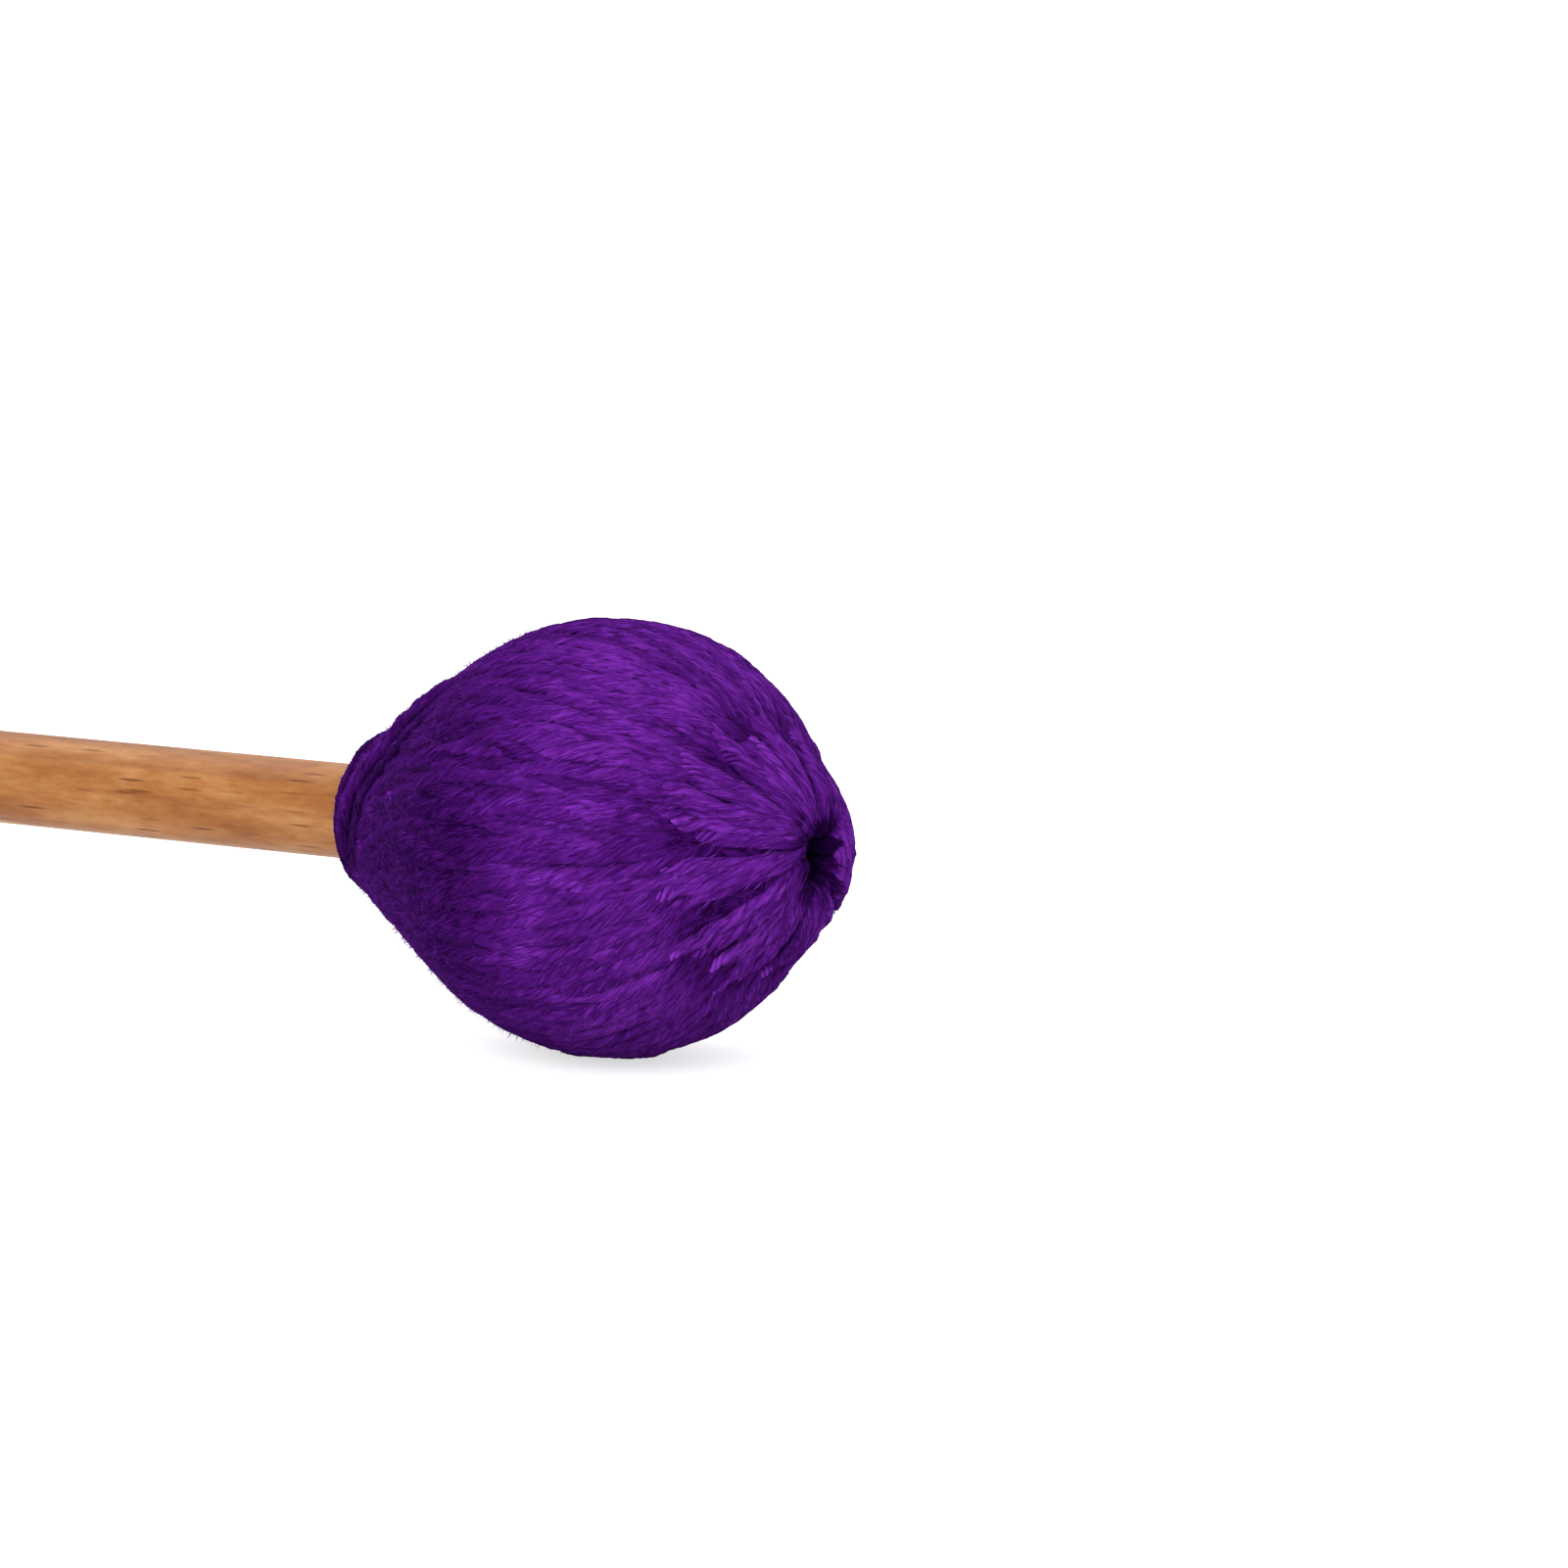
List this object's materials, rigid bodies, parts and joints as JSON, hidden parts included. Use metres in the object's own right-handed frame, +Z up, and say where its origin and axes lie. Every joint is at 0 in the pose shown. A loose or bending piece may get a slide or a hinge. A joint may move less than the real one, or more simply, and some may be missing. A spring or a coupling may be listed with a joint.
{
  "type": "marimba mallet",
  "caption": "Yarn-wound marimba mallet: a lemon-shaped head with stitched crown and neck on a slim round wooden handle.",
  "frame": {"origin": "centre of the flat butt face of the handle", "axes": "+X along the handle from the butt to the crown of the head, +Z up with the mallet lying level, +Y to the left when looking from the butt to the crown"},
  "size_m": [0.4194, 0.0356, 0.0356],
  "materials": {
    "beech": "satin lacquer, fine dark flecks along the grain",
    "core_rubber": "matt",
    "glue": "clear amber",
    "under_yarn": "soft plied yarn",
    "yarn": "soft plied yarn with a silky sheen"
  },
  "bodies": {
    "root": {"handle": "beech", "core_glue": "glue", "core": "core_rubber", "under_winding": "under_yarn", "outer_winding": "yarn", "crown_stitches": "yarn", "neck_stitches": "yarn", "neck_lashing": "yarn"}
  },
  "joints": []
}
